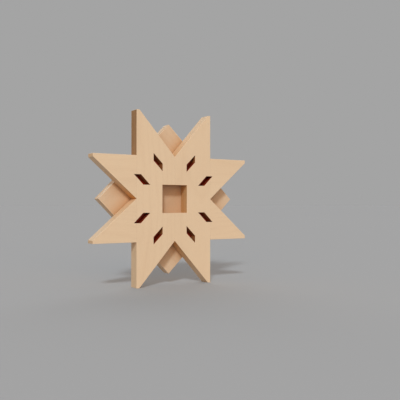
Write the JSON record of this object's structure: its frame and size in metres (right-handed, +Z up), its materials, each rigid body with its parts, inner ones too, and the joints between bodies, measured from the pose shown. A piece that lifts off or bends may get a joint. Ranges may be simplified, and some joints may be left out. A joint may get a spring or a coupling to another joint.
{
  "type": "wooden burr puzzle",
  "caption": "Eight-pointed wooden star over a ring of half-lapped bars with leaning pegs; a square key slides out of the back and the bars open together.",
  "frame": {"origin": "on the ground under the middle of the standing puzzle, at the middle of its depth", "axes": "+Z up, +X to the right and +Y to the back, so the star's face looks along -Y"},
  "size_m": [0.12, 0.0162, 0.12],
  "materials": {
    "star_wood": "smooth sanded pale maple, matt oil",
    "bar_wood": "smooth sanded pale maple, matt oil",
    "peg_wood": "dark hardwood, matt oil",
    "key_wood": "smooth sanded pale maple, matt oil"
  },
  "bodies": {
    "star": {"star_board_right": "star_wood", "star_board_top": "star_wood", "star_board_left": "star_wood", "star_board_bottom": "star_wood"},
    "upper_right": {"bar_upper_right": "bar_wood", "peg_upper_right_a": "peg_wood", "peg_upper_right_b": "peg_wood"},
    "upper_left": {"bar_upper_left": "bar_wood", "peg_upper_left_a": "peg_wood", "peg_upper_left_b": "peg_wood"},
    "lower_left": {"bar_lower_left": "bar_wood", "peg_lower_left_a": "peg_wood", "peg_lower_left_b": "peg_wood"},
    "lower_right": {"bar_lower_right": "bar_wood", "peg_lower_right_a": "peg_wood", "peg_lower_right_b": "peg_wood"},
    "key": {"key": "key_wood"}
  },
  "joints": [
    {"name": "key_slide", "type": "slide", "parent": "star", "child": "key", "axis": [0, 1, 0], "range_m": [0, 0.03]},
    {"name": "upper_right_slide", "type": "slide", "parent": "star", "child": "upper_right", "axis": [0.2418, 0.9397, 0.2418], "range_m": [0, 0.016]},
    {"name": "upper_left_slide", "type": "slide", "parent": "star", "child": "upper_left", "axis": [-0.2418, 0.9397, 0.2418], "range_m": [0, 0.016]},
    {"name": "lower_left_slide", "type": "slide", "parent": "star", "child": "lower_left", "axis": [-0.2418, 0.9397, -0.2418], "range_m": [0, 0.016]},
    {"name": "lower_right_slide", "type": "slide", "parent": "star", "child": "lower_right", "axis": [0.2418, 0.9397, -0.2418], "range_m": [0, 0.016]}
  ],
  "couplings": [
    {"joint": "upper_left_slide", "follows": "upper_right_slide", "ratio": 1},
    {"joint": "lower_left_slide", "follows": "upper_right_slide", "ratio": 1},
    {"joint": "lower_right_slide", "follows": "upper_right_slide", "ratio": 1}
  ]
}
